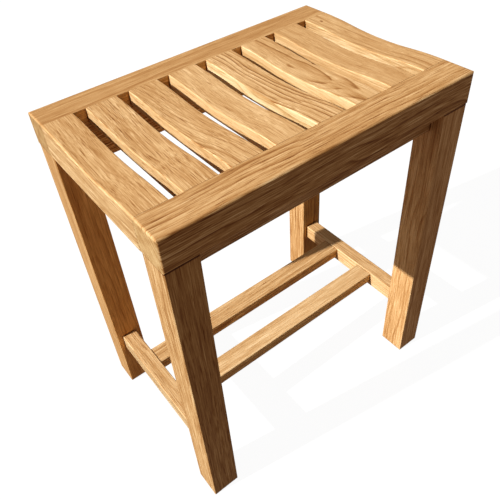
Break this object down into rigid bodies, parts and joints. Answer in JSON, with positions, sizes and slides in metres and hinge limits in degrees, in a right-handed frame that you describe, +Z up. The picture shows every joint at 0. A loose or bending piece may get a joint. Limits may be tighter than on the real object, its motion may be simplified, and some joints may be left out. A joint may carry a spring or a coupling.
{
  "type": "shower stool",
  "caption": "Wooden shower stool with a dished slatted seat, square legs and an open slatted shelf low between them.",
  "frame": {"origin": "on the floor, under the middle of the seat", "axes": "+Z up; X along the long side of the seat, with the left end at -X; -Y is the front"},
  "size_m": [0.383, 0.257, 0.45],
  "materials": {
    "teak_rail": "oiled, smooth, eased edges",
    "teak_end_board": "oiled, smooth, eased edges",
    "teak_slat": "oiled, smooth, eased edges",
    "teak_leg": "oiled, smooth",
    "teak_apron": "oiled, smooth",
    "teak_shelf": "oiled, smooth",
    "dowel_wood": "bare, hidden in the joints"
  },
  "bodies": {
    "root": {"rail_front": "teak_rail", "rail_back": "teak_rail", "end_board_left": "teak_end_board", "end_board_right": "teak_end_board", "slat_1": "teak_slat", "slat_2": "teak_slat", "slat_3": "teak_slat", "slat_4": "teak_slat", "slat_5": "teak_slat", "slat_6": "teak_slat", "leg_front_left": "teak_leg", "leg_front_right": "teak_leg", "leg_back_left": "teak_leg", "leg_back_right": "teak_leg", "apron_front": "teak_apron", "apron_back": "teak_apron", "side_stretcher_left": "teak_shelf", "side_stretcher_right": "teak_shelf", "shelf_bar_front": "teak_shelf", "shelf_bar_back": "teak_shelf", "leg_dowels": "dowel_wood"}
  },
  "joints": []
}
